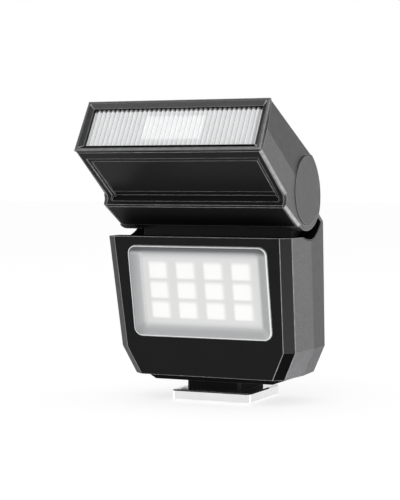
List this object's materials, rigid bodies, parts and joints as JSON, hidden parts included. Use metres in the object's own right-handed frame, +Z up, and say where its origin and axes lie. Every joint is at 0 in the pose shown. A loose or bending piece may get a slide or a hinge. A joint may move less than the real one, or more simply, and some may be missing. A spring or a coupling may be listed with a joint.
{
  "type": "speedlight flash",
  "caption": "Compact camera flash with a tilting wedge-shaped flash head, an LED fill light in the front of its body and a metal shoe foot.",
  "frame": {"origin": "centre of the underside of the shoe foot", "axes": "+Z up, -Y the front (the side the light comes out of), +X the object's right-hand side seen from the front"},
  "size_m": [0.0442, 0.0418, 0.0649],
  "materials": {
    "black_satin": "black satin, low gloss",
    "black_matte": "black, fine texture",
    "grey_matte": "dark grey, very fine texture",
    "frosted": "frosted translucent",
    "white_plastic": "white, diffuse",
    "board_white": "white solder mask",
    "board_green": "green solder mask",
    "phosphor": "lit LED phosphor",
    "bright_metal": "bright nickel plate",
    "steel": "bare steel",
    "dark_screw": "black oxide",
    "gold": "gold plated",
    "clear_lens": "clear ribbed plastic",
    "reflector": "polished sheet",
    "tube_glass": "clear glass",
    "foil": "silver pouch film",
    "cap_sleeve": "dark shrink sleeve",
    "chip": "moulded package",
    "key_grey": "soft-touch",
    "key_red": "translucent red, soft",
    "pipe": "light pipe",
    "ferrite": "ferrite core"
  },
  "bodies": {
    "body": {"front_cover": "black_satin", "light_window": "frosted", "light_frame": "white_plastic", "led_board": "board_white", "led_cases": "white_plastic", "led_phosphor": "phosphor", "housing": "grey_matte", "plate_screws": "dark_screw", "bottom_plate": "black_matte", "foot_neck": "black_matte", "shoe_foot": "bright_metal", "foot_screws": "steel", "contact_insulator": "black_matte", "contact_spring": "steel", "hinge_bracket": "black_matte", "hinge_shaft": "steel", "friction_washers": "steel", "shaft_clips": "steel", "battery_pack": "foil", "flash_capacitor": "cap_sleeve", "main_board": "board_green", "board_chips": "chip", "step_up_transformer": "ferrite", "usb_shell": "bright_metal", "usb_tongue": "black_matte", "control_panel": "black_satin", "level_lights": "pipe", "board_switches": "chip"},
    "head": {"head_shell": "grey_matte", "head_underside": "black_matte", "label_plate": "black_satin", "head_screws": "dark_screw", "pivot_caps": "grey_matte", "head_bezel": "grey_matte", "fresnel_lens": "clear_lens", "flash_reflector": "reflector", "flash_tube": "tube_glass", "tube_electrodes": "steel", "trigger_board": "board_green", "trigger_coil": "chip"},
    "test_button": {"test_button": "key_red"},
    "mode_button": {"mode_button": "key_grey"},
    "plus_key": {"plus_key": "key_grey"},
    "minus_key": {"minus_key": "key_grey"},
    "power_knob": {"power_knob": "key_grey"},
    "contact_pin": {"contact_pin": "gold"}
  },
  "joints": [
    {"name": "head_tilt", "type": "hinge", "parent": "body", "child": "head", "pos_m": [0, -0.0062, 0.0458], "axis": [-1, 0, 0], "range_deg": [-31, 59]},
    {"name": "test_button_press", "type": "slide", "parent": "body", "child": "test_button", "axis": [0, -0.9903, -0.1386], "range_m": [0, 0.0004], "stiffness_N_per_m": 600},
    {"name": "mode_button_press", "type": "slide", "parent": "body", "child": "mode_button", "axis": [0, -0.9903, -0.1386], "range_m": [0, 0.0004], "stiffness_N_per_m": 600},
    {"name": "plus_key_press", "type": "slide", "parent": "body", "child": "plus_key", "axis": [0, -0.9903, -0.1386], "range_m": [0, 0.0004], "stiffness_N_per_m": 600},
    {"name": "minus_key_press", "type": "slide", "parent": "body", "child": "minus_key", "axis": [0, -0.9903, -0.1386], "range_m": [0, 0.0004], "stiffness_N_per_m": 600},
    {"name": "power_slide", "type": "slide", "parent": "body", "child": "power_knob", "axis": [1, 0, 0], "range_m": [0, 0.003]},
    {"name": "contact_press", "type": "slide", "parent": "body", "child": "contact_pin", "axis": [0, 0, 1], "range_m": [0, 0.0005], "stiffness_N_per_m": 800, "deforming": ["contact_spring"]}
  ]
}
